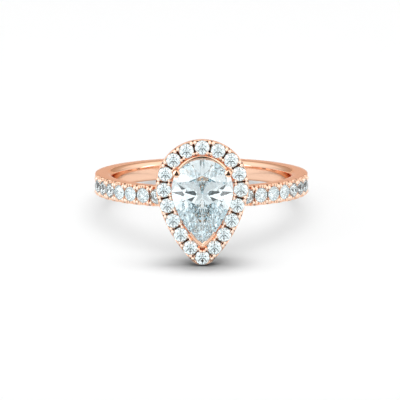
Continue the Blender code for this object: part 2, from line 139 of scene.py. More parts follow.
V_ARM = 1.6
V_ARM_STEPS = 16
V_TIP_STEPS = 6
V_LEG_FOOT = -0.77
V_LEG_HEAD = (-3.75, 12.1)
V_LEG_STEPS = 8
V_LEG_SIDES = 20
V_SMOOTH = 35.0

# Centre stone
GIRDLE = 12.95
GIRDLE_TOP = 13.07
PAVILION_SLOPE = 0.84
CROWN_SLOPE = 0.62
NOTCH_CLEARANCE = 0.01  # between the stone and the claws filed to fit it

# Gold and diamond
GOLD = (0.965, 0.645, 0.475)
DEEPER_GOLD = (0.945, 0.600, 0.430)
REDDER_GOLD = (0.91, 0.50, 0.33)
# painted shade, put in the cuts and grooves
PAINTED_SHADE_IN_CUTS = (0.16, 0.08, 0.045)
# painted highlight, put on the beads
PAINTED_HIGHLIGHT_ON_BEADS = (0.99, 0.79, 0.66)
GOLD_GLANCE = (0.80, 0.52, 0.38)
GOLD_POLISH = 0.05
CENTRE_TINT = (0.89, 0.935, 0.95)
SMALL_STONE_TINT = (0.86, 0.91, 0.925)
DIAMOND_IOR = 2.417
FACET_LINES = 0.02

# Light tent, against 1 for white
TENT_WALL = 0.86
TENT_TOP = 0.45  # added overhead
TENT_FRONT = 0.40  # taken off on the side that the head faces
TENT_GLOW = 1.00  # added in the middle of that side
TENT_BACK = 0.25  # share taken off behind the ring
TENT_FLAGS = 0.2  # share taken off by the dark edges at both sides
TENT_FILL = 0.10  # what the tent gives matt surfaces, which the softboxes light instead
OPENING_DARK = 0.96  # share taken off by the opening
OPENING_HALF_WIDTH = 0.13
OPENING_HALF_HEIGHT = 0.45
OPENING_RISE = -0.02
TENT_LEFT_COLOUR = (0.96, 0.99, 1.0)
TENT_RIGHT_COLOUR = (1.0, 0.99, 0.97)

# Floor, in metres
FLOOR_SIZE = 2.0
FLOOR_WHITE = (0.95, 0.95, 0.95)
FLOOR_GREYER = (0.93, 0.93, 0.93)
FAR_FLOOR = (0.03, 0.30)  # where the floor starts to glow and where it has all its glow
FAR_FLOOR_GLOW = (0.76, 0.76, 0.76)

# Camera
VIEW_HEIGHT = 21.75  # degrees above the floor
VIEW_TURN = -0.4
VIEW_DISTANCE = 0.5
VIEW_WIDTH = 38.42  # millimetres across the picture at the ring
VIEW_RISE = 1.70  # how far the ring's middle sits above the picture's
VIEW_SHIFT = 0.134
SENSOR = 36.0

HALO_STONES = [f"halo_stone_{i:02d}" for i in range(1, 19)]
SHOULDERS = {side: [f"{side}_stone_{i:02d}" for i in range(1, 8)] for side in ("left", "right")}


class Pear:
    """A pear outline: a round head, two long side arcs and a rounded tip, symmetric about Y."""

    def __init__(self, head_radius, head_centre, shoulder, side_radius, tip_radius):
        self.head_radius = head_radius
        self.head_centre = head_centre
        self.shoulder = math.radians(shoulder)
        self.side_radius = side_radius
        self.tip_radius = tip_radius
        reach = side_radius - head_radius
        self.side_centre = (
            -reach * math.cos(self.shoulder),
            head_centre + reach * math.sin(self.shoulder),
        )

    def arcs(self, offset):
        """Right-hand half from top to tip, as (centre, radius, first angle, last angle)."""
        side = self.side_radius + offset
        tip = max(self.tip_radius + offset, 0.0)
        drop = math.sqrt((side - tip) ** 2 - self.side_centre[0] ** 2)
        turn = math.asin(drop / (side - tip))
        return [
            ((0.0, self.head_centre), self.head_radius + offset, -math.pi / 2, self.shoulder),
            (self.side_centre, side, self.shoulder, turn),
            ((0.0, self.side_centre[1] - drop), tip, turn, math.pi / 2),
        ]

    def ring(self, offset, steps):
        """Outline points, clockwise from the top, with steps on each of the half's three arcs."""
        half = []
        for (centre, radius, first, last), count in zip(self.arcs(offset), steps):
            for i in range(count):
                angle = first + (last - first) * i / count
                half.append((centre[0] + radius * math.cos(angle), centre[1] - radius * math.sin(angle)))
        centre, radius = self.arcs(offset)[2][:2]
        tip = (0.0, centre[1] - radius)
        return half + [tip] + [(-x, y) for x, y in reversed(half[1:])]

    def steps(self, spacing):
        """How many steps each arc takes at a spacing along the outline."""
        return [max(6, round(radius * (last - first) / spacing)) for _, radius, first, last in self.arcs(0.0)]

    def along(self, share):
        """The point and its outward normal at a share of the way round, clockwise from the top."""
        arcs = self.arcs(0.0)
        lengths = [radius * (last - first) for _, radius, first, last in arcs]
        side = 1.0 if share <= 0.5 else -1.0
        left = min(share, 1.0 - share) * 2.0 * sum(lengths)
        for (centre, radius, first, last), length in zip(arcs, lengths):
            if left <= length + 1e-9:
                break
            left -= length
        angle = first + left / radius
        out = np.array((side * math.cos(angle), -math.sin(angle)))
        return np.array((side * centre[0], centre[1])) + out * radius, out


HALO = Pear(3.64, 1.45, 11.0, 11.5, 0.65)
STONE = Pear(2.9, 1.16, 15.0, 9.2, 0.12)
RAIL = Pear(2.09, 0.6, 15.0, 4.42, 0.5)


def find_setting():
    """The matrix from the ring's own millimetres to the frame, from the flat face on the shank's side."""
    mount = frame["record"]["mounts"][0]
    along = Vector(mount["axis"]).normalized()
    across = Vector((1.0, 0.0, 0.0))
    head = across.cross(along)
    middle = Vector(mount["pos_m"]) - along * BAND_HALF_WIDTH * MM + head * MOUNT_RADIUS * MM
    turn = Matrix((across, along, head)).transposed().to_4x4()
    return Matrix.Translation(middle) @ turn @ Matrix.Scale(MM, 4)


SETTING = find_setting()


# ---------------------------------------------------------------------------------------------- shaders


class Signal:
    """One output of a shader node; arithmetic on signals adds Math nodes."""

    def __init__(self, board, socket):
        self.board, self.socket = board, socket

    def maths(self, operation, first, second):
        return self.board.node("ShaderNodeMath", {"operation": operation}, {0: first, 1: second})

    def __add__(self, other):
        return self.maths("ADD", self, other)

    def __sub__(self, other):
        return self.maths("SUBTRACT", self, other)

    def __rsub__(self, other):
        return self.maths("SUBTRACT", other, self)

    def __mul__(self, other):
        return self.maths("MULTIPLY", self, other)

    def __pow__(self, other):
        return self.maths("POWER", self, other)

    __radd__ = __add__
    __rmul__ = __mul__

    def clip(self):
        """Held between 0 and 1."""
        return self.board.node("ShaderNodeClamp", None, {0: self})

    def out(self, name):
        """Another output of the same node."""
        return Signal(self.board, self.socket.node.outputs[name])


class Board:
    """A node tree being wired."""

    def __init__(self, tree):
        self.tree = tree

    def node(self, kind, settings=None, sockets=None):
        """A new node: its settings first, then the values or links of its sockets. Gives its first output."""
        made = self.tree.nodes.new(kind)
        for key, value in (settings or {}).items():
            setattr(made, key, value)
        for key, value in (sockets or {}).items():
            self.feed(made.inputs[key], value)
        return Signal(self, next((out for out in made.outputs if out.enabled), None))

    def feed(self, socket, value):
        """Link a signal to a socket, or set the socket's own value."""
        if isinstance(value, Signal):
            self.tree.links.new(value.socket, socket)
        elif isinstance(value, tuple) and len(value) == 3 and socket.type == "RGBA":
            socket.default_value = (*value, 1.0)
        else:
            socket.default_value = value

    def mix(self, share, first, second):
        """Between two colours."""
        return self.node("ShaderNodeMix", {"data_type": "RGBA"}, {0: share, 6: first, 7: second})

    def ramp(self, value, low, high):
        """0 below low, 1 above high, and a smooth rise between."""
        return self.node(
            "ShaderNodeMapRange",
            {"interpolation_type": "SMOOTHSTEP"},
            {"Value": value, "From Min": low, "From Max": high},
        )

    def noise(self, place, scale, detail, roughness=0.5):
        """Soft clouds, 0 to 1; the scale is clouds to a metre."""
        sockets = {"Vector": place, "Scale": scale, "Detail": detail, "Roughness": roughness}
        return self.node("ShaderNodeTexNoise", None, sockets)

    def stretch(self, place, scale, turn):
        """Places for a noise that runs in lines."""
        return self.node("ShaderNodeMapping", None, {"Vector": place, "Scale": scale, "Rotation": turn})

    def dot(self, first, second):
        """How far a vector reaches along a direction."""
        product = self.node("ShaderNodeVectorMath", {"operation": "DOT_PRODUCT"}, {0: first, 1: second})
        return product.out("Value")

    def bump(self, height, strength, distance, normal=None):
        """A tilted normal for relief a distance high, in metres."""
        sockets = {"Height": height, "Strength": strength, "Distance": distance}
        if normal:
            sockets["Normal"] = normal
        return self.node("ShaderNodeBump", None, sockets)


def new_material(name):
    """A material, its board and its shader."""
    material = bpy.data.materials.new(name)
    material.use_nodes = True
    board = Board(material.node_tree)
    return material, board, material.node_tree.nodes["Principled BSDF"]


def rose_gold(name):
    """Polished 14 carat rose gold with hairline marks, with painted shade in the cuts and a painted highlight
    on the beads.
    """
    material, board, shader = new_material(name)
    place = board.node("ShaderNodeTexCoord").out("Object")
    recess = board.node("ShaderNodeAttribute", {"attribute_name": "recess"}).out("Fac")
    cloud = board.noise(place, scale=420.0, detail=3.0)
    patch = board.noise(place, scale=2600.0, detail=4.0, roughness=0.6)
    along = board.stretch(place, scale=(900.0, 24000.0, 24000.0), turn=(0.3, 0.2, 0.5))
    hair = board.noise(along, scale=1.0, detail=2.0)
    around = board.stretch(place, scale=(21000.0, 800.0, 21000.0), turn=(0.1, 0.6, 0.2))
    cross = board.noise(around, scale=1.0, detail=2.0)
    tone = board.mix(cloud, GOLD, DEEPER_GOLD)
    tone = board.mix(0.25 * board.ramp(patch, 0.62, 0.8), tone, REDDER_GOLD)
    # painted shade: the gold turns near-black deep in the cuts and grooves
    tone = board.mix(0.9 * board.ramp(recess, 0.05, 0.5), tone, PAINTED_SHADE_IN_CUTS)
    # painted highlight: the gold turns pale cream up the beads
    tone = board.mix(board.ramp(0.0 - recess, 0.05, 0.4), tone, PAINTED_HIGHLIGHT_ON_BEADS)
    worn = GOLD_POLISH + 0.05 * cloud + 0.05 * board.ramp(hair, 0.55, 0.75)
    worn = worn + 0.12 * board.ramp(recess, 0.0, 1.0)
    marks = board.bump(hair + cross, strength=0.10, distance=0.000002)
    swell = board.noise(place, scale=900.0, detail=1.0)
    waves = board.bump(swell, strength=0.12, distance=0.00002, normal=marks)
    shader.inputs["Metallic"].default_value = 1.0
    board.feed(shader.inputs["Specular Tint"], GOLD_GLANCE)
    board.feed(shader.inputs["Base Color"], tone)
    board.feed(shader.inputs["Roughness"], worn)
    board.feed(shader.inputs["Normal"], waves)
    return material


def diamond(name, tint, girdle, round_axis):
    """Clear cut diamond: full refraction, hairline polish on the facets, a faint cool body colour.

    Light that has got in through the crown is all thrown back by the facets below the girdle. The girdle's
    height is from the finger hole's axis, or its distance from that axis for stones set round the band.
    """
    material, board, shader = new_material(name)
    place = board.node("ShaderNodeTexCoord").out("Object")
    own = board.node("ShaderNodeVectorMath", {"operation": "SUBTRACT"}, {0: place, 1: SETTING.translation})
    rise = board.dot(own, SETTING.col[2].to_3d().normalized())
    if round_axis:
        across = board.dot(own, SETTING.col[0].to_3d().normalized())
        rise = (rise * rise + across * across) ** 0.5
    below = 1.0 - board.ramp(rise, (girdle - 0.02) * MM, (girdle - 0.01) * MM)
    inside = board.node("ShaderNodeNewGeometry").out("Backfacing")
    cloud = board.noise(place, scale=700.0, detail=2.0)
    haze = board.ramp(board.noise(place, scale=5200.0, detail=3.0), 0.5, 0.8)
    facets = board.stretch(place, scale=(2500.0, 30000.0, 2500.0), turn=(0.4, 0.2, 0.7))
    lines = board.noise(facets, scale=1.0, detail=1.0)
    paler = tuple(1.0 - (1.0 - part) * 0.4 for part in tint)
    shader.inputs["Transmission Weight"].default_value = 1.0
    shader.inputs["IOR"].default_value = DIAMOND_IOR
    board.feed(shader.inputs["Base Color"], board.mix(cloud, tint, paler))
    board.feed(shader.inputs["Metallic"], below * inside)
    board.feed(shader.inputs["Roughness"], 0.012 * haze)
    board.feed(shader.inputs["Normal"], board.bump(lines, strength=FACET_LINES, distance=0.000001))
    return material


def pale_floor(name):
    """A matt white sweep with a faint paper tooth, which stays white far from the softboxes."""
    material, board, shader = new_material(name)
    place = board.node("ShaderNodeTexCoord").out("Object")
    away = board.node("ShaderNodeVectorMath", {"operation": "LENGTH"}, {0: place}).out("Value")
    cloud = board.noise(place, scale=9.0, detail=3.0)
    tooth = board.noise(place, scale=3500.0, detail=2.0)
    glow = board.mix(board.ramp(away, *FAR_FLOOR), (0.0, 0.0, 0.0), FAR_FLOOR_GLOW)
    shader.inputs["Specular IOR Level"].default_value = 0.1
    shader.inputs["Emission Strength"].default_value = 1.0
    board.feed(shader.inputs["Base Color"], board.mix(cloud, FLOOR_GREYER, FLOOR_WHITE))
    board.feed(shader.inputs["Emission Color"], glow)
    board.feed(shader.inputs["Roughness"], 0.8 + 0.1 * cloud)
    board.feed(shader.inputs["Normal"], board.bump(tooth, strength=0.03, distance=0.00001))
    return material


# --------------------------------------------------------------------------------------------- geometry


def add_piece(name, bm, material, nodes, smooth_angle=40.0):
    """A finished piece from a mesh in the ring's own millimetres.

    Light that leaves a stone passes the gold by, which keeps the stones clear of its colour.
    """
    bmesh.ops.recalc_face_normals(bm, faces=bm.faces)
    bmesh.ops.transform(bm, matrix=SETTING, verts=bm.verts)
    mesh = bpy.data.meshes.new(name)
    bm.to_mesh(mesh)
    bm.free()
    mesh.shade_smooth()
    mesh.set_sharp_from_angle(angle=math.radians(smooth_angle))
    mesh.materials.append(material)
    piece = bpy.data.objects.new(name, mesh)
    bpy.context.collection.objects.link(piece)
    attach(piece, "root")
    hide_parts(*nodes)
    piece.visible_transmission = False
    return piece


def skin(bm, loops, closed, recess=None):
    """Skin a row of equal closed loops; the row itself is closed, or capped at its ends.

    The recess says how deep in a cut, or how high up a bead, each point lies, for the painted shade and the
    painted highlight in the gold's colour.
    """
    layer = bm.verts.layers.float.get("recess") or bm.verts.layers.float.new("recess")
    rows = []
    for i, loop in enumerate(loops):
        row = [bm.verts.new(point) for point in loop]
        if recess is not None:
            for j, vertex in enumerate(row):
                vertex[layer] = float(recess[i][j])
        rows.append(row)
    size = len(rows[0])
    for i in range(len(rows) if closed else len(rows) - 1):
        near, far = rows[i], rows[(i + 1) % len(rows)]
        for j in range(size):
            k = (j + 1) % size
            bm.faces.new((near[j], near[k], far[k], far[j]))
    if not closed:
        bm.faces.new(list(reversed(rows[0])))
        bm.faces.new(rows[-1])


def full_turn(sides):
    """The angles of a ring's points."""
    return [2 * math.pi * i / sides for i in range(sides)]


def round_wire(bm, path, radii, sides):
    """A wire along a path, with a radius at each of its points."""
    points = [Vector(point) for point in path]
    heading = points[1] - points[0]
    turn = heading.to_track_quat("Z", "Y").to_matrix()
    loops = []
    for i, point in enumerate(points):
        ahead = points[min(i + 1, len(points) - 1)] - points[max(i - 1, 0)]
        turn = heading.rotation_difference(ahead).to_matrix() @ turn
        heading = ahead
        ring = [(radii[i] * math.cos(a), radii[i] * math.sin(a), 0.0) for a in full_turn(sides)]
        loops.append([point + turn @ Vector(spot) for spot in ring])
    skin(bm, loops, closed=False)


def smooth_path(points, steps):
    """Points on a Catmull-Rom curve through the given ones."""
    points = [Vector(point) for point in points]
    points = [2 * points[0] - points[1], *points, 2 * points[-1] - points[-2]]
    path = []
    for a, b, c, d in zip(points, points[1:], points[2:], points[3:]):
        for i in range(steps):
            t = i / steps
            bend = (2 * a - 5 * b + 4 * c - d) * t**2 + (3 * b - a - 3 * c + d) * t**3
            path.append(0.5 * (2 * b + (c - a) * t + bend))
    return path + [points[-2]]


def node_points(name):
    """A stone's corners in the ring's own millimetres."""
    back = SETTING.inverted()
    return [back @ vertex.co for vertex in frame["nodes"][name].data.vertices]


def middle_of(points):
    """The middle of the points' box."""
    lows = [min(point[i] for point in points) for i in range(3)]
    highs = [max(point[i] for point in points) for i in range(3)]
    return Vector([(low + high) / 2 for low, high in zip(lows, highs)])


class Pave:
    """The metal round a row of small stones: seats, cut-down edges, grooves and the beads that hold them."""

    def __init__(self, diameter, half_width, bead_across, bead_radius):
        self.seat = diameter / 2 + SEAT_CLEARANCE
        self.half_width = half_width
        self.bead_across = bead_across
        self.bead_radius = bead_radius

    def height(self, along, across, gap_along, gap_across):
        """Height above the metal's face, and how far a point lies in a cut, to 1, or up a bead, to -1.

        The first two places are from the nearest stone's middle and the next two from the nearest gap's.
        """
        cut = SCALLOP_LIFT - np.sqrt(np.maximum(SCALLOP_RADIUS**2 - along**2, 0.0))
        surface = np.where(np.abs(along) < SCALLOP_RADIUS, np.minimum(0.0, cut), 0.0)
        reach = np.abs(gap_across)
        notch = np.clip((reach - NOTCH_PLACE) / NOTCH_RUN, 0.0, 1.0)
        bridge = np.exp(-(((reach - self.bead_across + BRIDGE_PLACE) / BRIDGE_WIDTH) ** 2))
        depth = GROOVE_DEPTH * (1.0 - BRIDGE_FILL * bridge) * (1.0 - NOTCH_FILL * notch)
        groove = -depth * np.exp(-((gap_along / (GROOVE_WIDTH + NOTCH_SPREAD * notch)) ** 2))
        radius = np.hypot(along, across)
        slope = np.where(radius < self.seat, SEAT_SLOPE, WALL_SLOPE)
        seat = (radius - self.seat) * slope - STONE_SINK - SEAT_DROP
        hollow = np.minimum(groove, seat)
        surface = np.minimum(surface, hollow)
        for a in (-1, 1):
            for b in (-1, 1):
                away = np.hypot(gap_along - a * BEAD_SPREAD, gap_across - b * self.bead_across)
                dome = np.sqrt(np.maximum(self.bead_radius**2 - away**2, 0.0))
                skirt = np.maximum(away - self.bead_radius, 0.0) * WALL_SLOPE
                surface = np.maximum(surface, BEAD_TOP - self.bead_radius + dome - skirt)
        return surface, np.clip(-np.maximum(surface, hollow) / FULL_RECESS, -1.0, 1.0)

    def fillet(self, edge):
        """How far the face is rounded down near its edges."""
        over = np.clip(np.abs(edge) - (self.half_width - EDGE_FILLET), 0.0, EDGE_FILLET)
        return EDGE_FILLET - np.sqrt(EDGE_FILLET**2 - over**2)

    def columns(self):
        """Places across the face, closer together on the rounded edges."""
        half = self.half_width
        inner = half - EDGE_FILLET
        flat = np.linspace(-inner, inner, round(2 * inner / GRAIN) + 1)
        turn = np.sin(np.radians(FILLET_ANGLES)) * EDGE_FILLET
        return np.concatenate([-(inner + turn[::-1]), flat, inner + turn])


def on_band(degrees, height, across=0.0):
    """A point at an angle from the head, at a distance from the finger hole's axis."""
    a = math.radians(degrees)
    return (height * math.sin(a), across, height * math.cos(a))


def shank_angles(firsts, lasts):
    """Degrees from the head for each section: fine along the set shoulders, wider apart elsewhere."""
    fine = math.degrees(GRAIN / BAND_RADIUS)
    stops = sorted([*firsts, *lasts])
    angles = []
    for low, high in zip(stops, stops[1:] + [stops[0] + 360.0]):
        step = fine if low in firsts else PLAIN_STEP
        count = round((high - low) / step)
        angles += [low + (high - low) * i / count for i in range(count)]
    return angles


def make_shank(gold):
    """The band, with a row of seats, grooves and beads on each shoulder."""
    pave = Pave(SHOULDER_STONE_SIZE, BAND_HALF_WIDTH, **SHOULDER_BEADS)
    rows = []
    for names in SHOULDERS.values():
        spots = [middle_of(node_points(name)) for name in names]
        rows.append(sorted(math.degrees(math.atan2(spot.x, spot.z)) for spot in spots))
    stones = rows[0] + rows[1]
    pitch = (rows[1][-1] - rows[1][0]) / (len(rows[1]) - 1)
    gaps = [row[0] + pitch * (i - 0.5) for row in rows for i in range(len(row) + 1)]
    margin = pitch * SHOULDER_MARGIN
    angles = shank_angles([row[0] - margin for row in rows], [row[-1] + margin for row in rows])
    across = pave.columns()
    arc = math.radians(BAND_RADIUS)
    side = [(BAND_RADIUS - drop, BAND_HALF_WIDTH) for drop in BAND_WALL_DROPS]
    for i in range(COMFORT_STEPS + 1):
        a = math.pi / 2 * i / COMFORT_STEPS
        radius = BORE_RADIUS + COMFORT_DEPTH * (1.0 - math.sin(a))
        side.append((radius, BAND_HALF_WIDTH - COMFORT_RISE * (1.0 - math.cos(a))))
    under = side + [(radius, -place) for radius, place in reversed(side)]
    loops, recesses = [], []
    for angle in angles:
        turn = (angle + 180.0) % 360.0 - 180.0
        from_stone = min((turn - stone for stone in stones), key=abs)
        from_gap = min((turn - gap for gap in gaps), key=abs)
        if abs(from_stone) < pitch * STONE_REACH or abs(from_gap) < pitch * GAP_REACH:
            along, gap_along = np.full_like(across, from_stone * arc), np.full_like(across, from_gap * arc)
            height, recess = pave.height(along, across, gap_along, across)
        else:
            height, recess = np.zeros_like(across), np.zeros_like(across)
        height = height - pave.fillet(across)
        top = [on_band(angle, BAND_RADIUS + up, place) for up, place in zip(height, across)]
        loops.append(top + [on_band(angle, radius, place) for radius, place in under])
        recesses.append([*recess, *([0.0] * len(under))])
    bm = bmesh.new()
    skin(bm, loops, closed=True, recess=recesses)
    return add_piece("polished_shank", bm, gold, ["shank"])


def make_halo(gold):
    """The pear-shaped plate round the centre stone, with seats, grooves and beads all the way round."""
    pave = Pave(HALO_STONE_SIZE, HALO_HALF_WIDTH, **HALO_BEADS)
    centres = np.array([middle_of(node_points(name))[:2] for name in HALO_STONES])
    count = len(centres)
    outs = np.array([HALO.along(i / count)[1] for i in range(count)])
    gap_spots = [HALO.along((i + 0.5) / count) for i in range(count)]
    gap_centres = np.array([spot for spot, _ in gap_spots])
    gap_outs = np.array([out for _, out in gap_spots])
    steps = HALO.steps(GRAIN)
    offsets = pave.columns()
    grid = np.array([HALO.ring(offset, steps) for offset in offsets])

    def local(points, middles, ways):
        """Places along and across the row from the nearest of the given middles."""
        nearest = np.argmin(np.hypot(*(points[:, None, :] - middles[None]).transpose(2, 0, 1)), axis=1)
        away, out = points - middles[nearest], ways[nearest]
        return away[:, 0] * out[:, 1] - away[:, 1] * out[:, 0], (away * out).sum(axis=1)

    flat = grid.reshape(-1, 2)
    edge = np.repeat(offsets, grid.shape[1])
    along, across = local(flat, centres, outs)
    gap_along, gap_across = local(flat, gap_centres, gap_outs)
    height, recess = pave.height(along, across, gap_along, gap_across)
    height = (height - pave.fillet(edge)).reshape(grid.shape[:2])
    recess = recess.reshape(grid.shape[:2])

    half, low = HALO_HALF_WIDTH, HALO_BACK
    bend, bevel, wall_top = HALO_BACK_ROUND, HALO_BACK_BEVEL, HALO_FACE - HALO_WALL_DROP
    under = [(half, wall_top), (half, low + HALO_WALL_FOOT)]
    for a in HALO_BACK_ANGLES:
        under.append((half - bend * (1 - math.cos(a)), low + bend * (1 - math.sin(a))))
    under += [(-half + bevel, low), (-half, low + bevel), (-half, wall_top)]
    walls = [HALO.ring(offset, steps) for offset, _ in under]
    loops, recesses = [], []
    for i in range(grid.shape[1]):
        top = [(*grid[j, i], HALO_FACE + height[j, i]) for j in range(len(offsets))]
        loops.append(top + [(*wall[i], level) for wall, (_, level) in zip(walls, under)])
        recesses.append([*recess[:, i], *([0.0] * len(under))])
    bm = bmesh.new()
    skin(bm, loops, closed=True, recess=recesses)
    return add_piece("beaded_halo", bm, gold, ["halo_frame"])


def along_outlines(outlines, section):
    """Loops of a section's (offset, height) points, from the outline at each of its offsets."""
    heights = [height for _, height in section]
    return [[(*spot, height) for spot, height in zip(spots, heights)] for spots in zip(*outlines)]


def pear_rail(pear, section):
    """A closed rail whose section is a list of (offset from the outline, height)."""
    steps = pear.steps(RAIL_SPACING)
    bm = bmesh.new()
    skin(bm, along_outlines([pear.ring(offset, steps) for offset, _ in section], section), closed=True)
    return bm


def make_bearing(gold):
    """The rail inside the halo that the centre stone sits over."""
    low, high = BEARING_HEIGHTS
    tall = (high - low) / 2

    def squarer(value):
        return math.copysign(abs(value) ** BEARING_ROUNDNESS, value)

    section = [
        (BEARING_OFFSET + squarer(math.cos(a)) * BEARING_HALF_WIDTH, low + tall + squarer(math.sin(a)) * tall)
        for a in full_turn(RAIL_SIDES)
    ]
    return add_piece("stone_bearing", pear_rail(HALO, section), gold, ["bearing_rail"])


def make_gallery(gold):
    """The lower rail of the basket, a round wire."""
    section = [
        (RAIL_RADIUS * math.cos(a), RAIL_HEIGHT + RAIL_RADIUS * math.sin(a)) for a in full_turn(RAIL_SIDES)
    ]
    return add_piece("gallery_wire", pear_rail(RAIL, section), gold, ["gallery_rail"])


def make_collet(gold):
    """A short oval tube whose foot follows the band."""
    top, rim = COLLET_TOP, COLLET_RIM
    ease = rim * COLLET_RIM_EASE
    section = [
        (COLLET_OUTER, None),
        (COLLET_OUTER, top - rim),
        ([axis - ease for axis in COLLET_OUTER], top - ease),
        ([axis - rim for axis in COLLET_OUTER], top),
        ([axis + rim for axis in COLLET_INNER], top),
        (COLLET_INNER, top - rim),
        (COLLET_INNER, None),
    ]
    loops = []
    for a in full_turn(COLLET_SIDES):
        loop = []
        for axes, height in section:
            x, y = axes[0] * math.cos(a), COLLET_SHIFT + axes[1] * math.sin(a)
            foot = math.sqrt((BAND_RADIUS - COLLET_FOOT_SINK) ** 2 - x**2)
            loop.append((x, y, height or foot))
        loops.append(loop)
    bm = bmesh.new()
    skin(bm, loops, closed=True)
    return add_piece("head_collet", bm, gold, ["collet"])


def grind_claw(bm, middle):
    """Four flats ground on a claw's rounded head: a small triangle and three that slope away from it."""
    height, turn = math.radians(CLAW_FLAT_RISE), math.radians(CLAW_FLAT_SLOPE)
    face = Vector((0.0, math.sin(height), math.cos(height)))
    face_turn = face.to_track_quat("Z", "Y")
    corner = middle + face * CLAW_FLAT_DEPTH
    for around in CLAW_FLAT_TURNS:
        spot, normal = corner, face
        if around is not None:
            a = math.radians(around)
            out = face_turn @ Vector((math.cos(a), math.sin(a), 0.0))
            spot = corner + out * CLAW_FLAT_SIZE
            normal = out * math.sin(turn) + face * math.cos(turn)
        cut = bmesh.ops.bisect_plane(
            bm,
            geom=bm.verts[:] + bm.edges[:] + bm.faces[:],
            plane_co=spot,
            plane_no=normal,
            clear_outer=True,
        )
        edges = [item for item in cut["geom_cut"] if isinstance(item, bmesh.types.BMEdge)]
        bmesh.ops.edgeloop_fill(bm, edges=edges)


def clear_stone(bm):
    """Keep a round claw out of the stone, as the notch filed for the girdle does."""
    for vertex in bm.verts:
        out = Vector((vertex.co.x, vertex.co.y - STONE.head_centre))
        if vertex.co.z < GIRDLE:
            limit = (GIRDLE - vertex.co.z) / PAVILION_SLOPE
        else:
            limit = max(0.0, vertex.co.z - GIRDLE_TOP) / CROWN_SLOPE
        reach = STONE.head_radius - limit + NOTCH_CLEARANCE
        if out.length < reach:
            out *= reach / out.length
            vertex.co.x, vertex.co.y = out.x, out.y + STONE.head_centre


def make_claw(side, sign, gold):
    """A tapered wire that ends in a rounded head over the stone's edge."""
    x, y = CLAW_PLACE
    foot = Vector((sign * CLAW_FOOT[0], CLAW_FOOT[1], COLLET_TOP - WIRE_SINK))
    elbow = Vector((sign * x, y, CLAW_ELBOW_HEIGHT))
    tip = Vector((sign * (x - CLAW_LEAN), y - CLAW_LEAN, CLAW_TIP_HEIGHT))
    path = smooth_path([foot, *(foot.lerp(elbow, share) for share in CLAW_BENDS), elbow, tip], CLAW_STEPS)
    swell = [min(1.0, max(0.0, (point.z - CLAW_ELBOW_HEIGHT) / CLAW_HEAD_RUN)) for point in path]
    radii = [CLAW_RADIUS + (CLAW_HEAD_RADIUS - CLAW_RADIUS) * s * s * (3 - 2 * s) for s in swell]
    for turn in range(CLAW_DOME_STEP, 90, CLAW_DOME_STEP):
        a = math.radians(turn)
        path.append(tip + Vector((0, 0, CLAW_HEAD_RADIUS * math.sin(a) * CLAW_HEAD_DOME)))
        radii.append(CLAW_HEAD_RADIUS * math.cos(a))
    bm = bmesh.new()
    round_wire(bm, path, radii, CLAW_SIDES)
    grind_claw(bm, tip)
    clear_stone(bm)
    return add_piece(f"{side}_rounded_claw", bm, gold, [f"{side}_claw"], CLAW_SMOOTH)


def v_outline(offset):
    """The V's line at an offset from the stone's outline, from one arm's end round the tip to the other's."""
    (_, (side, radius, _, last), (tip, tip_radius, first, end)) = STONE.arcs(offset)
    start = last - V_ARM / radius
    turns = [(side, radius, start + (last - start) * i / V_ARM_STEPS) for i in range(V_ARM_STEPS)]
    turns += [(tip, tip_radius, first + (end - first) * i / V_TIP_STEPS) for i in range(V_TIP_STEPS)]
    half = [(centre[0] + reach * math.cos(a), centre[1] - reach * math.sin(a)) for centre, reach, a in turns]
    return half + [(0.0, tip[1] - tip_radius)] + [(-x, y) for x, y in reversed(half)]


def make_tip_claw(gold):
    """The V that guards the stone's tip: a ridge over the girdle on a wall, carried by a leg."""
    section = [
        (V_BACK, V_FOOT),
        (V_WALL - 0.01, V_FOOT),
        (V_WALL + 0.05, V_FOOT + 0.08),
        (V_WALL + 0.05, V_LEDGE - 0.3),
        (V_WALL + 0.17, V_LEDGE - 0.12),
        (V_WALL + 0.17, V_LEDGE - 0.04),
        (V_WALL, V_LEDGE + 0.06),
        (V_WALL, V_TOP - 0.22),
        (V_WALL - 0.06, V_TOP - 0.06),
        (0.0, V_TOP),
        (0.06 - V_WALL, V_TOP - 0.04),
        (-V_WALL, V_TOP - 0.08),
        (-V_WALL, V_TOP - 0.11),
        (0.005, V_TOP - 0.22),
        (0.005, GIRDLE - 0.01),
        (V_BACK, GIRDLE - 0.45),
    ]
    bm = bmesh.new()
    skin(bm, along_outlines([v_outline(offset) for offset, _ in section], section), closed=False)
    foot = Vector((0.0, V_LEG_FOOT, COLLET_TOP - WIRE_SINK))
    head = Vector((0.0, *V_LEG_HEAD))
    leg = [foot.lerp(head, i / V_LEG_STEPS) for i in range(V_LEG_STEPS + 1)]
    round_wire(bm, leg, [CLAW_RADIUS] * len(leg), V_LEG_SIDES)
    return add_piece("v_claw", bm, gold, ["tip_claw"], V_SMOOTH)


def dress_stones():
    """The cut stones keep their ground facets and get a clear material."""
    cuts = {
        "centre": diamond("centre_diamond", CENTRE_TINT, GIRDLE, False),
        "halo": diamond("halo_diamond", SMALL_STONE_TINT, HALO_FACE - STONE_SINK, False),
        "shoulder": diamond("shoulder_diamond", SMALL_STONE_TINT, BAND_RADIUS - STONE_SINK, True),
    }
    for name, node in frame["nodes"].items():
        if "stone" in name:
            node.material_slots[0].material = cuts.get(name.split("_")[0], cuts["shoulder"])


# -------------------------------------------------------------------------------------------- the studio


def make_floor():
    """The sweep that the ring lies on."""
    bm = bmesh.new()
    bmesh.ops.create_grid(bm, x_segments=4, y_segments=4, size=FLOOR_SIZE)
    mesh = bpy.data.meshes.new("sweep")
    bm.to_mesh(mesh)
    bm.free()
    mesh.materials.append(pale_floor("white_sweep"))
    floor = bpy.data.objects.new("sweep", mesh)
    bpy.context.collection.objects.link(floor)


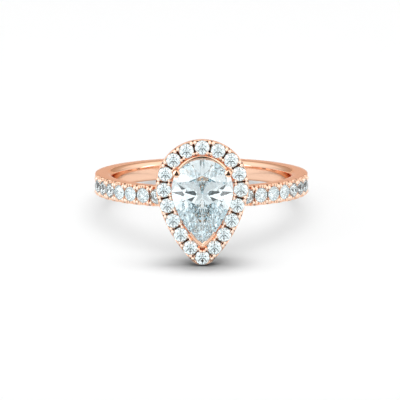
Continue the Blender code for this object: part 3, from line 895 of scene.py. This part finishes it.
def light_tent():
    """A white tent: brighter overhead, a dimmer front, a dark opening in it and dark edges at both sides.

    Mirrors and stones see all of it, the background is its plain white, and matt surfaces get only a fill.
    """
    world = bpy.data.worlds.new("light_tent")
    bpy.context.scene.world = world
    world.use_nodes = True
    board = Board(world.node_tree)
    sine, cosine = math.sin(math.radians(VIEW_HEIGHT)), math.cos(math.radians(VIEW_HEIGHT))
    towards = board.node("ShaderNodeTexCoord").out("Generated")
    split = board.node("ShaderNodeSeparateXYZ", None, {0: towards})
    side, height = split.out("X"), split.out("Z")
    reach = board.node("ShaderNodeMath", {"operation": "ABSOLUTE"}, {0: side})
    facing = board.dot(towards, (0.0, -cosine, sine))
    rise = board.dot(towards, (0.0, sine, cosine))

    level = TENT_WALL + TENT_TOP * board.ramp(height, 0.0, 0.8)
    level = level - TENT_FRONT * board.ramp(facing, 0.66, 0.76)
    level = level + TENT_GLOW * board.ramp(facing, 0.84, 0.89)
    level = level * (1.0 - TENT_BACK * board.ramp(0.0 - facing, 0.60, 0.72))
    flags = board.ramp(reach, 0.55, 0.62) * (1.0 - board.ramp(reach, 0.74, 0.80))
    flags = flags * (1.0 - board.ramp(height, 0.35, 0.6))
    level = level * (1.0 - TENT_FLAGS * flags)
    wide, tall = side * (1.0 / OPENING_HALF_WIDTH), (rise - OPENING_RISE) * (1.0 / OPENING_HALF_HEIGHT)
    opening = board.ramp(facing, 0.5, 0.6) * (1.0 - board.ramp(wide * wide + tall * tall, 0.85, 1.0))
    level = level * (1.0 - OPENING_DARK * opening)

    path = board.node("ShaderNodeLightPath")
    seen = path.out("Is Camera Ray")
    shine = path.out("Is Glossy Ray") + path.out("Is Transmission Ray")
    matt = (1.0 - shine.clip()) * (1.0 - seen)
    level = level * (1.0 - seen) + seen
    level = level * (1.0 - matt) + TENT_FILL * matt
    background = world.node_tree.nodes["Background"]
    colour = board.mix(board.ramp(side, -0.6, 0.6), TENT_LEFT_COLOUR, TENT_RIGHT_COLOUR)
    board.feed(background.inputs["Color"], colour)
    board.feed(background.inputs["Strength"], level)


def softbox(name, place, size, radiance, mirrored=True, blockers=None):
    """A rectangular diffuser that faces the ring.

    Mirrored says whether the gold and the stones show it. Blockers are the only pieces whose shadows it
    casts; without them it casts everything's.
    """
    light = bpy.data.lights.new(name, "AREA")
    light.shape = "RECTANGLE"
    light.size, light.size_y = size
    light.energy = radiance * math.pi * size[0] * size[1]
    box = bpy.data.objects.new(name, light)
    bpy.context.collection.objects.link(box)
    box.visible_glossy = box.visible_transmission = mirrored
    box.location = place
    box.rotation_euler = (SETTING.translation - box.location).to_track_quat("-Z", "Y").to_euler()
    if blockers:
        group = bpy.data.collections.new(name + "_blockers")
        for piece in blockers:
            group.objects.link(piece)
        box.light_linking.blocker_collection = group


def light_ring(head):
    """The softboxes: the high ones cast only the head's shadow, the others the whole ring's."""
    small, high = (0.08, 0.08), {"mirrored": False, "blockers": head}
    softbox("overhead_softbox", place=(0.0, 0.04, 0.25), size=(0.10, 0.08), radiance=10.3, **high)
    softbox("high_left_softbox", place=(-0.10, 0.03, 0.23), size=small, radiance=4.4, **high)
    softbox("high_right_softbox", place=(0.10, 0.03, 0.23), size=small, radiance=4.4, **high)
    softbox("front_softbox", place=(0.0, -0.06, 0.24), size=(0.26, 0.22), radiance=1.35, mirrored=False)
    softbox("left_softbox", place=(-0.20, -0.10, 0.12), size=(0.10, 0.14), radiance=1.8)
    softbox("right_softbox", place=(0.22, -0.02, 0.10), size=(0.05, 0.14), radiance=1.8)


def place_camera():
    """A long lens that looks down on the ring's front."""
    lens = bpy.data.cameras.new("camera")
    camera = bpy.data.objects.new("camera", lens)
    bpy.context.collection.objects.link(camera)
    height, turn = math.radians(VIEW_HEIGHT), math.radians(VIEW_TURN)
    back = Vector(
        (math.sin(turn) * math.cos(height), -math.cos(turn) * math.cos(height), math.sin(height))
    )
    facing = (-back).to_track_quat("-Z", "Y")
    right, up = facing @ Vector((1, 0, 0)), facing @ Vector((0, 1, 0))
    target = SETTING.translation - up * VIEW_RISE * MM - right * VIEW_SHIFT * MM
    camera.rotation_mode = "QUATERNION"
    camera.rotation_quaternion = facing
    camera.location = target + back * VIEW_DISTANCE
    lens.sensor_width = SENSOR
    lens.lens = SENSOR * VIEW_DISTANCE / (VIEW_WIDTH * MM)
    lens.clip_start, lens.clip_end = 0.01, 10.0
    bpy.context.scene.camera = camera


def set_light_paths():
    """Colours as they are lit, and many bounces: light is thrown about in a cut stone before it gets out."""
    scene = bpy.context.scene
    scene.view_settings.view_transform = "Standard"
    scene.cycles.max_bounces = 40
    scene.cycles.glossy_bounces = 32
    scene.cycles.transmission_bounces = 32
    scene.cycles.transparent_max_bounces = 16
    scene.cycles.caustics_reflective = False
    scene.cycles.caustics_refractive = False


place_camera()
set_light_paths()
light_tent()
make_floor()
gold = rose_gold("polished_rose_gold")
head = [
    make_halo(gold),
    make_bearing(gold),
    make_gallery(gold),
    make_collet(gold),
    make_claw("left", -1, gold),
    make_claw("right", 1, gold),
    make_tip_claw(gold),
    frame["nodes"]["centre_stone"],
]
make_shank(gold)
light_ring(head)
dress_stones()
